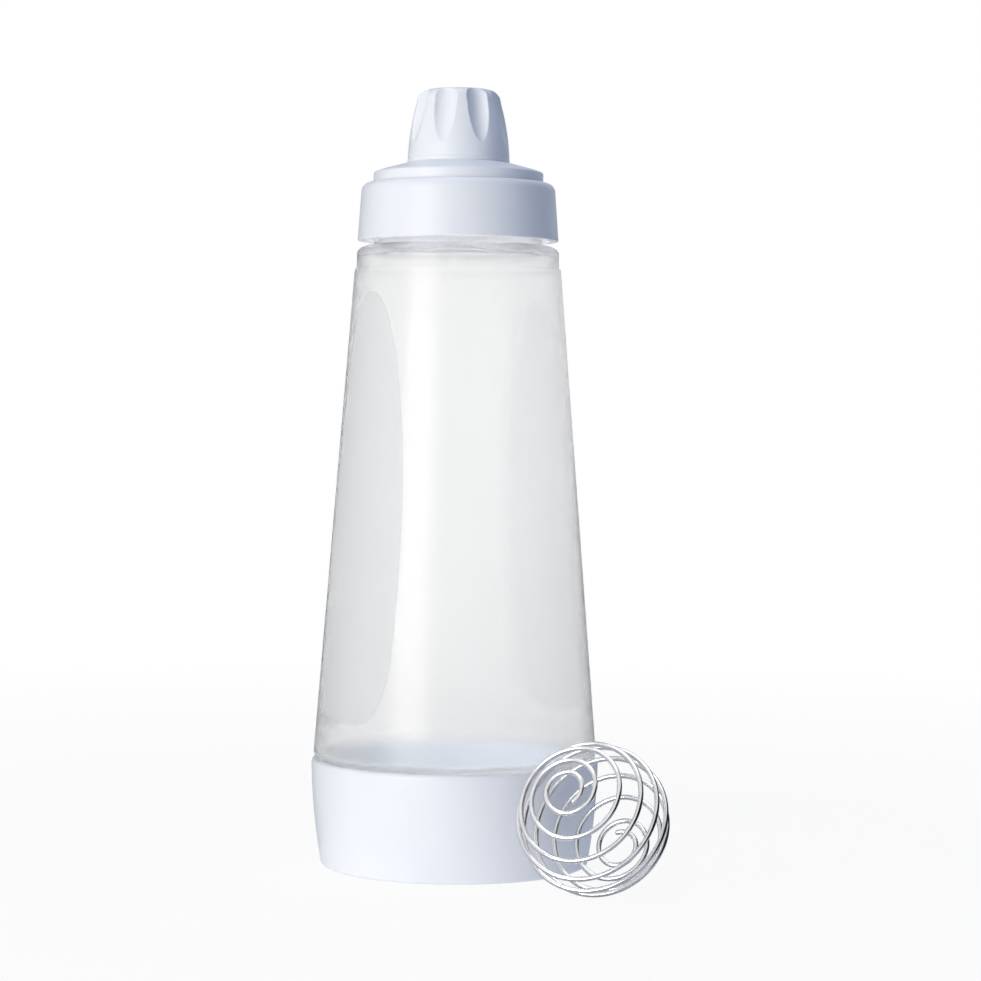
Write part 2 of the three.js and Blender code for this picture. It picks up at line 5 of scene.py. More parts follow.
import bpy
import mathutils
import numpy as np
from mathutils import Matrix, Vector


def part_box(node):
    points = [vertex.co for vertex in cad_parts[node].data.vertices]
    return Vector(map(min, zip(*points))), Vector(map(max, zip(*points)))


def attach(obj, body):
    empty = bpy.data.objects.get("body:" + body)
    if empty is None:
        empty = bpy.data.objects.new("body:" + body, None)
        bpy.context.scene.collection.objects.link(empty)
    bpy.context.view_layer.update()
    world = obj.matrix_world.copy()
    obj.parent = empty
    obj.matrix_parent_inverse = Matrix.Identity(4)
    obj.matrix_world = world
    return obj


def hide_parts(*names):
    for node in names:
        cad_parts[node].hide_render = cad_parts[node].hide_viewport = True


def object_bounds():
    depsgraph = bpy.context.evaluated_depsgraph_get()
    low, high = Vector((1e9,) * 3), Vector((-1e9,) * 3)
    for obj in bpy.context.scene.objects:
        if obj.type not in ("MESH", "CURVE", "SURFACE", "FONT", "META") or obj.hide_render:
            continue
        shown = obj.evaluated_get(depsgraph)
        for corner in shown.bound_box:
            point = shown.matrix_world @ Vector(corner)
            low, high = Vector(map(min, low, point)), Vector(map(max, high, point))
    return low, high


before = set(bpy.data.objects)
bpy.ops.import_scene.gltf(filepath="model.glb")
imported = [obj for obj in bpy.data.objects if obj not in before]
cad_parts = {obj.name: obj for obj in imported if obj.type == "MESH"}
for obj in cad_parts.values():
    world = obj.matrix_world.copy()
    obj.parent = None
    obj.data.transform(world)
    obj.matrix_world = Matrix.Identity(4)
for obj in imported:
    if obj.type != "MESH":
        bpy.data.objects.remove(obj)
cad_box = [[float(v) for v in corner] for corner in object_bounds()]


# Base cup: an injection-moulded cup of satin white plastic that the bottle screws down into. A ledge inside
# carries the gasket, and one thread ridge winds round the bore above it.
def span(node):
    """A node's lowest and highest corners at rest, in millimetres."""
    low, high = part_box(node)
    return 1000 * np.array(low), 1000 * np.array(high)


def straight(start, end, count=2):
    """Evenly spaced points: start + t (end - start), with t from 0 to 1."""
    return np.linspace(start, end, count)


def bend(centre, reach, rise, first, last, count=9):
    """Points of an elliptical arc: centre + (reach cos a, rise sin a), with a from first to last degrees."""
    a = np.radians(np.linspace(first, last, count))
    return np.stack([centre[0] + reach * np.cos(a), centre[1] + rise * np.sin(a)], axis=1)


def arc(centre, radius, first, last, count=9):
    """Points of a round arc: a bend whose reach and rise are its radius."""
    return bend(centre, radius, radius, first, last, count)


def around(steps):
    """The angles of one turn about the Z axis, evenly spaced, without the last, which is the first again."""
    return np.linspace(0, 2 * np.pi, steps, endpoint=False)


def turned(outline, angle):
    """Carries an outline of [radius, height] points round the Z axis: every point gets the same radius and
    height at each angle. Returns a grid of radii and one of heights."""
    still = np.zeros_like(angle)
    return outline[:, 0, None] + still, outline[:, 1, None] + still


def polar(radius, height, angle):
    """Points (radius cos a, radius sin a, height) of a grid."""
    return np.stack([radius * np.cos(angle), radius * np.sin(angle), height + 0 * angle], axis=-1)


def skin(name, rows, ring, sharp=38):
    """One closed skin over rows of points, each row a closed loop. A ring's last row joins its first; any
    other skin closes each end on a point in the middle of its end row. Edges bent past sharp degrees are
    crisp."""
    count, steps, _ = rows.shape
    index = np.arange(count * steps).reshape(count, steps)
    lower, upper = (index, np.roll(index, -1, axis=0)) if ring else (index[:-1], index[1:])
    quads = np.stack([lower, np.roll(lower, -1, 1), np.roll(upper, -1, 1), upper], axis=-1).reshape(-1, 4)
    points = rows.reshape(-1, 3)
    faces = quads.tolist()
    if not ring:
        points = np.vstack([points, rows[0].mean(axis=0), rows[-1].mean(axis=0)])
        foot, top = np.full(steps, count * steps), np.full(steps, count * steps + 1)
        faces += np.stack([foot, np.roll(index[0], -1), index[0]], axis=1).tolist()
        faces += np.stack([top, index[-1], np.roll(index[-1], -1)], axis=1).tolist()
    mesh = bpy.data.meshes.new(name)
    mesh.from_pydata((points / 1000).tolist(), [], faces)
    mesh.polygons.foreach_set("use_smooth", np.ones(len(mesh.polygons), dtype=bool))
    mesh.set_sharp_from_angle(angle=math.radians(sharp))
    mesh.update()
    made = bpy.data.objects.new(name, mesh)
    bpy.context.scene.collection.objects.link(made)
    return made


def thread(angle, height, start, lead, turns, root, tip, starts=1, run_out=20):
    """How far a screw thread stands out of its wall, from 0 to 1. Each start's ridge begins at height start,
    on its own share of the turn, and its middle climbs by lead in each turn. Across, the ridge is a trapezoid
    as wide as root at its foot and as tip at its crest. Along, both its ends fade over run_out degrees."""
    ridge = np.zeros(np.broadcast(angle, height).shape)
    whole = 2 * np.pi * turns
    for first in range(starts):
        for lap in range(math.ceil(turns)):
            along = np.mod(angle - 2 * np.pi * first / starts, 2 * np.pi) + 2 * np.pi * lap
            middle = start + lead * along / (2 * np.pi)
            across = np.clip((root / 2 - np.abs(height - middle)) / ((root - tip) / 2), 0, 1)
            ends = np.clip(np.minimum(along, whole - along) / math.radians(run_out), 0, 1)
            ridge = np.maximum(ridge, across * ends)
    return ridge


def finish_tree(name):
    """A new material with its shader and the piece's own coordinates."""
    material = bpy.data.materials.new(name)
    material.use_nodes = True
    tree = material.node_tree
    place = tree.nodes.new("ShaderNodeTexCoord").outputs["Object"]
    return material, tree, tree.nodes["Principled BSDF"], place


def cloud(tree, place, size, detail=2):
    """Soft noise whose features are about size millimetres across."""
    noise = tree.nodes.new("ShaderNodeTexNoise")
    noise.inputs["Scale"].default_value = 1000 / size
    noise.inputs["Detail"].default_value = detail
    tree.links.new(place, noise.inputs["Vector"])
    return noise.outputs["Fac"]


noise_middle = (0.3, 0.7)


def mapped(tree, value, start, end):
    """A number that runs over the stretch end as value runs over the stretch start, and goes no further."""
    spread = tree.nodes.new("ShaderNodeMapRange")
    spread.inputs["From Min"].default_value = start[0]
    spread.inputs["From Max"].default_value = start[1]
    spread.inputs["To Min"].default_value = end[0]
    spread.inputs["To Max"].default_value = end[1]
    tree.links.new(value, spread.inputs["Value"])
    return spread.outputs["Result"]


def between(tree, share, low, high):
    """A number that runs from low to high as a noise runs over its middle stretch."""
    return mapped(tree, share, noise_middle, (low, high))


def tints(tree, share, first, second):
    """A colour that runs between two tints as a noise runs over its middle stretch."""
    ramp = tree.nodes.new("ShaderNodeValToRGB")
    ramp.color_ramp.elements[0].position = noise_middle[0]
    ramp.color_ramp.elements[0].color = (*first, 1)
    ramp.color_ramp.elements[1].position = noise_middle[1]
    ramp.color_ramp.elements[1].color = (*second, 1)
    tree.links.new(share, ramp.inputs["Fac"])
    return ramp.outputs["Color"]


def raised(tree, share, height):
    """A bump of height millimetres from a noise."""
    bump = tree.nodes.new("ShaderNodeBump")
    bump.inputs["Distance"].default_value = height / 1000
    bump.inputs["Strength"].default_value = 1
    tree.links.new(share, bump.inputs["Height"])
    return bump.outputs["Normal"]


def white_plastic():
    """Moulded white plastic with a faint blue cast, a satin gloss and the fine grain of its mould."""
    material, tree, shader, place = finish_tree("white_plastic")
    flow = cloud(tree, place, 22)
    grain = cloud(tree, place, 0.5)
    tree.links.new(tints(tree, flow, (0.85, 0.86, 0.90), (0.87, 0.88, 0.91)), shader.inputs["Base Color"])
    tree.links.new(between(tree, flow, 0.34, 0.40), shader.inputs["Roughness"])
    tree.links.new(raised(tree, grain, 0.012), shader.inputs["Normal"])
    shader.inputs["IOR"].default_value = 1.49
    shader.inputs["Specular IOR Level"].default_value = 0.3
    return material


white = white_plastic()
base_high = span("base_cap")[1]
base_height = base_high[2]
base_rim = base_high[0]
base_draw = 3.4
base_bulge = 0.7
base_wall = 2.5
base_floor = 2.6
base_rim_rounding = 1.6
base_foot_rounding = 1.6
base_floor_fillet = 3
bore_edge = 0.5
hub_radius = 2
base_bore = base_rim - base_wall
seat_gap = 0.3
seat_edge = 0.3
thread_gap = 0.45
flank_gap = 0.3
base_thread = dict(lead=6, turns=1.05, root=2.2, tip=1.2)
base_thread_height = 1.25
base_ridge_offset = (base_thread["root"] + base_thread["tip"]) / 2 + flank_gap
skirt_radius = base_bore - thread_gap - base_thread_height
skirt_wall = 1.8
skirt_bore = skirt_radius - skirt_wall
seat_height = span("base_gasket")[0][2] - seat_gap
foot_radius = base_rim - base_draw

angle = around(256)
side_t = np.linspace(0, 1, 28)
side_low, side_high = base_foot_rounding, base_height - base_rim_rounding
side = np.stack(
    [
        foot_radius + base_draw * side_t + 4 * base_bulge * side_t * (1 - side_t),
        side_low + (side_high - side_low) * side_t,
    ],
    axis=1,
)
outline = np.concatenate(
    [
        straight((hub_radius, 0), (foot_radius - base_foot_rounding - 1, 0), 6),
        arc((foot_radius - base_foot_rounding, side_low), base_foot_rounding, -90, 0)[:-1],
        side,
        arc((base_rim - base_rim_rounding, side_high), base_rim_rounding, 0, 90)[1:],
        arc((base_bore + bore_edge, base_height - bore_edge), bore_edge, 90, 180, 5),
        straight((base_bore, base_height - 1), (base_bore, seat_height), 72),
        straight((skirt_bore + seat_edge, seat_height), (skirt_bore, seat_height - seat_edge)),
        straight((skirt_bore, seat_height - 2), (skirt_bore, base_floor + base_floor_fillet), 4),
        arc(
            (skirt_bore - base_floor_fillet, base_floor + base_floor_fillet),
            base_floor_fillet, 0, -90,
        )[1:],
        straight((skirt_bore - base_floor_fillet - 2, base_floor), (hub_radius, base_floor), 6),
    ]
)
radius, height = turned(outline, angle)
bottle_low, bottle_high = span("bottle")
skirt_length = 20
bottle_foot = bottle_low[2] + skirt_length
skirt_thread_start = bottle_foot - skirt_length / 2 - base_thread["lead"] * base_thread["turns"] / 2
base_ridge = thread(angle, height, skirt_thread_start + base_ridge_offset, **base_thread)
in_bore = (np.abs(radius - base_bore) < 0.01) & (height < base_height - 1)
radius = radius - base_thread_height * base_ridge * in_bore
base_cup = skin("base_cup", polar(radius, height, angle), ring=False)
base_cup.data.materials.append(white)
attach(base_cup, "base")
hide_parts("base_cap")


# Base gasket: a flat silicone ring that the bottle's skirt presses on the base's ledge. Its corners are
# rounded, as a cast ring's are.
def silicone_rubber():
    """Matt translucent white silicone, a little uneven, with a soft sheen."""
    material, tree, shader, place = finish_tree("silicone_rubber")
    patch = cloud(tree, place, 6)
    tree.links.new(tints(tree, patch, (0.68, 0.70, 0.74), (0.74, 0.755, 0.79)), shader.inputs["Base Color"])
    tree.links.new(between(tree, patch, 0.55, 0.68), shader.inputs["Roughness"])
    tree.links.new(raised(tree, cloud(tree, place, 0.8), 0.02), shader.inputs["Normal"])
    shader.inputs["IOR"].default_value = 1.41
    return material


def washer(name, inner, outer, low, high, corner, steps):
    """A flat ring with rounded corners: four arcs of the corner's radius, carried round the Z axis."""
    outline = np.concatenate(
        [
            arc((outer - corner, low + corner), corner, -90, 0, 5),
            arc((outer - corner, high - corner), corner, 0, 90, 5),
            arc((inner + corner, high - corner), corner, 90, 180, 5),
            arc((inner + corner, low + corner), corner, 180, 270, 5),
        ]
    )
    angle = around(steps)
    return skin(name, polar(*turned(outline, angle), angle), ring=True)


silicone = silicone_rubber()
low, high = span("base_gasket")
base_seal_ring = washer("base_seal_ring", skirt_bore, high[0], low[2], high[2], corner=0.4, steps=192)
base_seal_ring.data.materials.append(silicone)
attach(base_seal_ring, "base_seal")
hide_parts("base_gasket")


# Bottle: blown from natural translucent plastic, with a threaded skirt below, a straight taper with two
# scooped grips, a ledge and a plain band, a rounded shoulder and a threaded neck.
body_height = 176
body_top = bottle_foot + body_height
grip_foot_margin = 14.7
grip_top_margin = 8.6
grip_widest_height = 55
grip_foot = bottle_foot + grip_foot_margin
grip_top = body_top - grip_top_margin
grip_widest = grip_foot + grip_widest_height
grip_half_width = 21.7
grip_depth = 2.2
grip_foot_power = 3.9
body_foot_radius = 51.2
body_top_radius = 37.35
bottle_wall = 1.4
foot_reach = 1.5
foot_rise = 2.2
skirt_edge = 0.5
skirt_corner = 0.6
web_thickness = 1.2
web_fillet = 0.4
ledge_rounding = 0.5
ledge_height = 0.6
ledge_step = 0.7
band_height = 5.2
band_radius = body_top_radius - ledge_step
band_top = body_top + ledge_height + band_height
shoulder_height = 3.2
shoulder_reach = 6.1
neck_radius = band_radius - shoulder_reach
neck_wall = 1.8
neck_bore = neck_radius - neck_wall
neck_rim = bottle_high[2]
neck_rounding = 0.5
neck_thread = dict(lead=5, turns=1.05, root=2.2, tip=1.1)
neck_thread_height = 1.8
collar_stand_off = 1.6
shoulder_top = band_top + shoulder_height
neck_thread_middle = (shoulder_top + neck_rim + collar_stand_off) / 2
neck_thread_start = neck_thread_middle - neck_thread["lead"] * neck_thread["turns"] / 2
parting_bearing = math.radians(-97.5)
parting_height = 0.1


def body_radius(height):
    """The straight taper from the bottle's foot to its ledge."""
    return body_foot_radius + (body_top_radius - body_foot_radius) * (height - bottle_foot) / body_height


def grip_edge(height):
    """Half of a grip's width at each height: an ellipse above its widest height, and below it a squarer
    curve, both from (across ^ power + along ^ power) = 1."""
    up = height - grip_widest
    reach = np.where(up > 0, grip_top - grip_widest, grip_widest - grip_foot)
    power = np.where(up > 0, 2, grip_foot_power)
    along = np.clip(np.abs(up) / reach, 0, 1)
    return grip_half_width * (1 - along**power) ** (1 / power)


def grip_inset(angle, height):
    """How deep a scoop is at each place: its depth times 1 - d^2, where d is 0 in its middle and 1 at its
    edge."""
    up = height - grip_widest
    reach = np.where(up > 0, grip_top - grip_widest, grip_widest - grip_foot)
    power = np.where(up > 0, 2, grip_foot_power)
    nearest = np.abs(np.arctan2(np.sin(2 * angle), np.cos(2 * angle))) / 2
    across = nearest * body_radius(height) / grip_half_width
    along = np.abs(up) / reach
    d = (across**power + along**power) ** (1 / power)
    return grip_depth * np.clip(1 - d**2, 0, None)


def grip_columns(height, steps):
    """Angles of the bottle's mesh columns in each row. Near a grip, the columns draw in so that one of them
    lies along the grip's edge: up to it they are even from the grip's middle, and past it up to reach."""
    reach = math.radians(60)
    usual_edge = math.radians(27)
    least_edge = math.radians(4)
    ease_height = 10
    even = around(steps)
    edge_column = 2 * np.pi / steps * round(usual_edge / (2 * np.pi / steps))
    signed = np.arctan2(np.sin(2 * even), np.cos(2 * even)) / 2
    size = np.abs(signed)
    nearest_grip = even - signed
    edge = np.clip(grip_edge(height) / body_radius(height), least_edge, None)[:, None]
    beyond = np.clip(np.maximum(grip_foot - height, height - grip_top) / ease_height, 0, 1)[:, None]
    edge = edge + (edge_column - edge) * beyond
    inside = size * edge / edge_column
    outside = edge + (size - edge_column) * (reach - edge) / (reach - edge_column)
    drawn = np.where(size <= edge_column, inside, outside)
    return nearest_grip + np.sign(signed) * np.where(size < reach, drawn, size)


def calc(tree, operation, *values):
    """One step of arithmetic on a material's numbers, each a constant or another step's result."""
    step = tree.nodes.new("ShaderNodeMath")
    step.operation = operation
    for socket, value in zip(step.inputs, values):
        if isinstance(value, (int, float)):
            socket.default_value = value
        else:
            tree.links.new(value, socket)
    return step.outputs["Value"]


def grip_share(tree, place):
    """1 inside the grips and 0 outside, from the same curves as grip_edge, on coordinates in metres."""
    split = tree.nodes.new("ShaderNodeSeparateXYZ")
    tree.links.new(place, split.inputs["Vector"])
    x, y, z = split.outputs
    bearing = calc(tree, "ARCTAN2", calc(tree, "ABSOLUTE", y), calc(tree, "ABSOLUTE", x))
    taper = 1000 * (body_top_radius - body_foot_radius) / body_height
    wall = calc(tree, "MULTIPLY_ADD", z, taper, body_radius(0))
    across = calc(tree, "DIVIDE", calc(tree, "MULTIPLY", bearing, wall), grip_half_width)
    up = calc(tree, "MULTIPLY_ADD", z, 1000, -grip_widest)
    above = calc(tree, "DIVIDE", calc(tree, "MAXIMUM", up, 0), grip_top - grip_widest)
    below = calc(tree, "DIVIDE", calc(tree, "MINIMUM", up, 0), grip_foot - grip_widest)
    upper = calc(tree, "ADD", calc(tree, "POWER", across, 2), calc(tree, "POWER", above, 2))
    across_lower = calc(tree, "POWER", across, grip_foot_power)
    lower = calc(tree, "ADD", across_lower, calc(tree, "POWER", below, grip_foot_power))
    return calc(tree, "LESS_THAN", calc(tree, "MAXIMUM", upper, lower), 1)


def frosted_plastic():
    """Natural milky plastic: light goes through it blurred, and its faint mould grain dulls the gloss. The
    grips are a little more matt and tinted darker as painted shade in the scoops, and the foot and skirt a
    good deal more matt."""
    material, tree, shader, place = finish_tree("frosted_plastic")
    grip = grip_share(tree, place)
    flow = cloud(tree, place, 35)
    # The grips' darker tint is painted shade in the scoops; their extra roughness is a matt finish.
    painted_grip_shade = tints(tree, grip, (0.882, 0.884, 0.886), (0.841, 0.848, 0.853))
    tree.links.new(painted_grip_shade, shader.inputs["Base Color"])
    shader.inputs["Transmission Weight"].default_value = 0.95
    shader.inputs["IOR"].default_value = 1.24
    smooth = between(tree, flow, 0.21, 0.255)
    split = tree.nodes.new("ShaderNodeSeparateXYZ")
    tree.links.new(place, split.inputs["Vector"])
    foot = calc(tree, "LESS_THAN", split.outputs["Z"], (bottle_foot + foot_rise) / 1000)
    matt = calc(tree, "MULTIPLY_ADD", foot, 0.5, calc(tree, "MULTIPLY", grip, 0.12))
    tree.links.new(calc(tree, "ADD", smooth, matt), shader.inputs["Roughness"])
    tree.links.new(raised(tree, cloud(tree, place, 0.7), 0.004), shader.inputs["Normal"])
    body = tree.nodes.new("ShaderNodeVolumeAbsorption")
    body.inputs["Color"].default_value = (0.5, 0.5, 0.58, 1)
    body.inputs["Density"].default_value = 3
    tree.links.new(body.outputs["Volume"], tree.nodes["Material Output"].inputs["Volume"])
    return material


bottle_steps = 256
foot_top = bottle_foot + foot_rise
foot_corner = bend((body_radius(foot_top) - foot_reach, foot_top), foot_reach, foot_rise, -90, -6, 9)
body_height_rows = np.concatenate(
    [
        np.linspace(foot_top, grip_foot, 12)[:-1],
        np.linspace(grip_foot, grip_top, 120)[:-1],
        np.linspace(grip_top, body_top - ledge_rounding, 8),
    ]
)
web_top = bottle_foot + web_thickness
inner_height_rows = np.concatenate(
    [
        np.linspace(body_top - 1, grip_top, 4)[:-1],
        np.linspace(grip_top, grip_foot, 40)[:-1],
        np.linspace(grip_foot, web_top + web_fillet, 5),
    ]
)
outline = np.concatenate(
    [
        arc((skirt_bore + skirt_edge, bottle_low[2] + skirt_edge), skirt_edge, 180, 270, 4),
        arc((skirt_radius - skirt_edge, bottle_low[2] + skirt_edge), skirt_edge, -90, 0, 4),
        straight((skirt_radius, bottle_low[2] + 1), (skirt_radius, bottle_foot - 0.8), 54),
        arc((skirt_radius + skirt_corner, bottle_foot - skirt_corner), skirt_corner, 180, 90, 4),
        foot_corner,
        np.stack([body_radius(body_height_rows), body_height_rows], axis=1),
        arc((body_top_radius - ledge_rounding, body_top), ledge_rounding, 10, 90, 5),
        straight(
            (band_radius + 0.05, body_top + ledge_rounding + 0.05),
            (band_radius, body_top + ledge_height),
        ),
        straight((band_radius, body_top + ledge_height + 0.6), (band_radius - 0.05, band_top - 0.6), 5),
        bend((neck_radius, band_top), shoulder_reach, shoulder_height, 0, 90, 14)[:-1],
        straight((neck_radius, shoulder_top + 0.1), (neck_radius, neck_rim - 1), 54),
        arc((neck_radius - neck_rounding, neck_rim - neck_rounding), neck_rounding, 0, 90, 4),
        arc((neck_bore + neck_rounding, neck_rim - neck_rounding), neck_rounding, 90, 180, 4),
        bend(
            (neck_bore, band_top - bottle_wall),
            band_radius - bottle_wall - neck_bore, shoulder_height, 90, 0, 10,
        ),
        np.stack([body_radius(inner_height_rows) - bottle_wall, inner_height_rows], axis=1),
        arc(
            (body_radius(bottle_foot) - bottle_wall - web_fillet, web_top + web_fillet),
            web_fillet, -20, -90, 4,
        ),
        straight((skirt_bore + web_fillet, web_top), (skirt_bore, web_top - web_fillet)),
        straight((skirt_bore, bottle_foot - 1), (skirt_bore, bottle_low[2] + 1), 4),
    ]
)
columns = grip_columns(outline[:, 1], bottle_steps)
radius, height = turned(outline, around(bottle_steps))
on_skirt = np.isclose(radius, skirt_radius) & (height < bottle_foot)
on_neck = np.isclose(radius, neck_radius) & (height > shoulder_top)
on_body = (height > bottle_foot + foot_rise / 2) & (height < body_top) & (radius > skirt_bore * 0.7)
on_band = (height > body_top) & (height < band_top) & (radius > band_radius - 0.2)
parting = np.abs(np.arctan2(np.sin(columns - parting_bearing), np.cos(columns - parting_bearing)))
radius = radius + base_thread_height * thread(columns, height, skirt_thread_start, **base_thread) * on_skirt
radius = radius + neck_thread_height * thread(columns, height, neck_thread_start, **neck_thread) * on_neck
radius = radius - grip_inset(columns, height) * on_body
radius = radius + parting_height * (parting < np.pi / bottle_steps) * on_band
bottle_shell = skin("bottle_shell", polar(radius, height, columns), ring=True)
bottle_shell.data.materials.append(frosted_plastic())
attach(bottle_shell, "bottle")
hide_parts("bottle")


# Neck gasket: a thin silicone ring between the neck's rim and the spout's flange.
low, high = span("neck_gasket")
neck_seal_ring = washer("neck_seal_ring", neck_bore, high[0], low[2], high[2], corner=0.4, steps=192)
neck_seal_ring.data.materials.append(silicone)
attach(neck_seal_ring, "spout")
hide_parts("neck_gasket")


# Spout: one moulding of white plastic. A ring plugs the bottle's neck, a flange lies under the collar's lip,
# a stepped plate rises to a threaded nozzle, and the nozzle ends in a narrow tip.
spout_low, spout_high = span("spout")
running_gap = 0.4
plug_length = 4.2
plug_wall = 1.6
plug_edge = 0.4
flange_thickness = 1.6
flange_reach = 1.65
flange_edge = 0.3
plate_rise = 6.36
plate_rounding = 0.8
cone_rise = 4.5
spout_wall = 1.8
nozzle_radius = 14.2
nozzle_wall = 2
nozzle_thread_length = 9.6
nozzle_rounding = 0.8
nozzle_taper = 4
valve_seat_depth = 0.9
tip_radius = 8.6
tip_wall = 1.8
tip_edge = 0.6
tip_bore_edge = 0.4
cap_thread = dict(lead=8, turns=0.45, root=1.6, tip=0.8, starts=2)
cap_thread_height = 1.2
plug_radius = neck_bore - running_gap
plug_bore = plug_radius - plug_wall
flange_low = spout_low[2] + plug_length
flange_high = flange_low + flange_thickness
flange_radius = spout_high[0]
plate_radius = flange_radius - flange_reach
plate_bore = plate_radius - spout_wall
plate_edge = flange_high + plate_rise
nozzle_bore = nozzle_radius - nozzle_wall
nozzle_root = plate_edge + cone_rise
nozzle_shoulder = nozzle_root + nozzle_thread_length
valve_seat = nozzle_shoulder - valve_seat_depth
tip_root = nozzle_shoulder + nozzle_taper
tip_bore = tip_radius - tip_wall
tip_top = spout_high[2]
cap_thread_start = nozzle_root + nozzle_thread_length / 2 - cap_thread["lead"] * cap_thread["turns"] / 2
cone_slope = cone_rise / (plate_radius - nozzle_radius)
cone_angle = math.degrees(math.atan(cone_slope))
outline = np.concatenate(
    [
        arc((plug_bore + plug_edge, spout_low[2] + plug_edge), plug_edge, 180, 270, 4),
        arc((plug_radius - plug_edge, spout_low[2] + plug_edge), plug_edge, -90, 0, 4),
        straight((plug_radius, spout_low[2] + 1), (plug_radius, flange_low), 4),
        arc((flange_radius - flange_edge, flange_low + flange_edge), flange_edge, -90, 0, 4),
        arc((flange_radius - flange_edge, flange_high - flange_edge), flange_edge, 0, 90, 4),
        straight((plate_radius + 0.3, flange_high), (plate_radius, flange_high + 0.3)),
        straight((plate_radius, flange_high + 1), (plate_radius, plate_edge - plate_rounding - 0.1), 5),
        arc(
            (plate_radius - plate_rounding, plate_edge - plate_rounding),
            plate_rounding, 0, 90 - cone_angle,
        ),
        straight(
            (plate_radius - 2, plate_edge + 2 * cone_slope - 0.05),
            (nozzle_radius + nozzle_rounding, nozzle_root - 0.2), 16,
        ),
        arc((nozzle_radius + nozzle_rounding, nozzle_root + 0.6), nozzle_rounding, 250, 180, 5),
        straight((nozzle_radius, nozzle_root + 1), (nozzle_radius, nozzle_shoulder - 0.4), 44),
        arc((nozzle_radius - nozzle_rounding, nozzle_shoulder), nozzle_rounding, 0, 40, 5),
        straight((nozzle_radius - 1.5, nozzle_shoulder + 1), (tip_radius + 0.5, tip_root - 0.3), 5),
        straight((tip_radius, tip_root + 0.4), (tip_radius, tip_top - 0.8), 6),
        arc((tip_radius - tip_edge, tip_top - tip_edge), tip_edge, 0, 90, 5),
        arc((tip_bore + tip_bore_edge, tip_top - tip_bore_edge), tip_bore_edge, 90, 180, 5),
        straight((tip_bore, tip_top - 1), (tip_bore, valve_seat), 5),
        straight((tip_bore + 0.3, valve_seat), (nozzle_bore, valve_seat)),
        straight((nozzle_bore, valve_seat - 0.3), (nozzle_bore, nozzle_root - spout_wall + 0.3), 4),
        straight((nozzle_bore + 0.5, nozzle_root - spout_wall), (plate_bore, plate_edge - spout_wall), 8),
        straight((plate_bore, plate_edge - spout_wall - 0.5), (plate_bore, flange_high), 4),
        straight((plug_bore, flange_low), (plug_bore, spout_low[2] + 1), 4),
    ]
)
angle = around(256)
radius, height = turned(outline, angle)
on_nozzle = np.isclose(radius, nozzle_radius) & (height > nozzle_root)
radius = radius + cap_thread_height * thread(angle, height, cap_thread_start, **cap_thread) * on_nozzle
spout_plate = skin("spout_plate", polar(radius, height, angle), ring=True)
spout_plate.data.materials.append(white)
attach(spout_plate, "spout")
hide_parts("spout")


# Slit valve: a soft silicone disc in the nozzle, domed up into the tip and cut across twice, so that it
# opens under pressure and closes again. Shallow grooves mark the two cuts.
valve_low, valve_high = span("nozzle_valve")
valve_radius = valve_high[0]
valve_flange = 1.3
valve_wall = 0.9
valve_edge = 0.3
valve_flange_top = valve_low[2] + valve_flange
dome_radius = tip_bore - running_gap
dome_rise = valve_high[2] - valve_flange_top + 0.03
slit_width = 0.5
slit_length = 8
slit_depth = 0.45
outline = np.concatenate(
    [
        bend((0, valve_low[2]), dome_radius - valve_wall, dome_rise - valve_wall, 88, 0, 24),
        arc((valve_radius - valve_edge, valve_low[2] + valve_edge), valve_edge, -90, 0, 4),
        arc((valve_radius - valve_edge, valve_flange_top - valve_edge), valve_edge, 0, 90, 4),
        straight((dome_radius + 0.4, valve_flange_top), (dome_radius + 0.1, valve_flange_top + 0.05)),
        bend((0, valve_flange_top), dome_radius, dome_rise, 2, 88, 60),
    ]
)
angle = around(160)
radius, height = turned(outline, angle)
flat_x, flat_y = radius * np.cos(angle), radius * np.sin(angle)
in_slit = np.minimum(
    np.where(np.abs(flat_x) < slit_length / 2, np.abs(flat_y), slit_length),
    np.where(np.abs(flat_y) < slit_length / 2, np.abs(flat_x), slit_length),
)
on_dome = (height > valve_flange_top + 0.1) & (radius < dome_radius)
height = height - slit_depth * np.clip(1 - in_slit / (slit_width / 2), 0, 1) * on_dome
valve = skin("slit_valve", polar(radius, height, angle), ring=False)
valve.data.materials.append(silicone)
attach(valve, "spout")
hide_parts("nozzle_valve")


# Valve retainer: a stout white ring pressed into the nozzle from below, which holds the valve's edge up.
low, high = span("valve_retainer")
retainer_wall = 4
retainer_bore = high[0] - retainer_wall
retainer_ring = washer("retainer_ring", retainer_bore, high[0], low[2], high[2], corner=0.6, steps=128)
retainer_ring.data.materials.append(white)
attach(retainer_ring, "spout")
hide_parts("valve_retainer")


